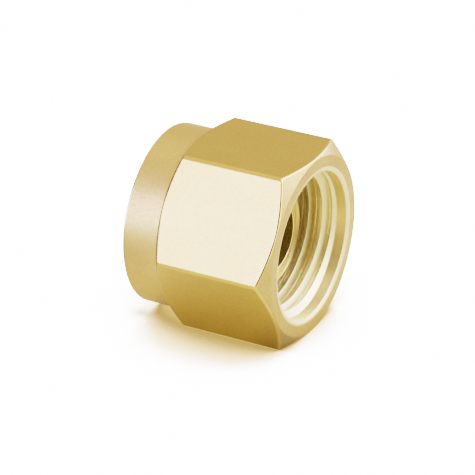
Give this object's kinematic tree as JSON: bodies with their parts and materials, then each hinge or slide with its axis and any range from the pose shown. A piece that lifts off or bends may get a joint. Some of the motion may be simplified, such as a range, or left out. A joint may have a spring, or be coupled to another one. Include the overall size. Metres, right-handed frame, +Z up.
{
  "type": "tube plug",
  "caption": "Brass hexagon nut with a round rear collar and internal thread, holding a hollow-nosed turned insert that closes a tube fitting's port.",
  "frame": {"origin": "centre of the lower flat's footprint, midway along the plug, at the height of the surface it lies on", "axes": "+X along the plug's axis, out of the open threaded end; +Z up, square to the flat that it lies on"},
  "size_m": [0.014, 0.0182, 0.0159],
  "materials": {
    "nut_brass": "plain turned brass, satin, drawn bar flats",
    "insert_brass": "plain turned brass, satin"
  },
  "bodies": {
    "nut": {"nut": "nut_brass"},
    "insert": {"plug_insert": "insert_brass"}
  },
  "joints": [
    {"name": "insert_spin", "type": "hinge", "parent": "nut", "child": "insert", "pos_m": [0, 0, 0.00794], "axis": [1, 0, 0], "continuous": true}
  ]
}
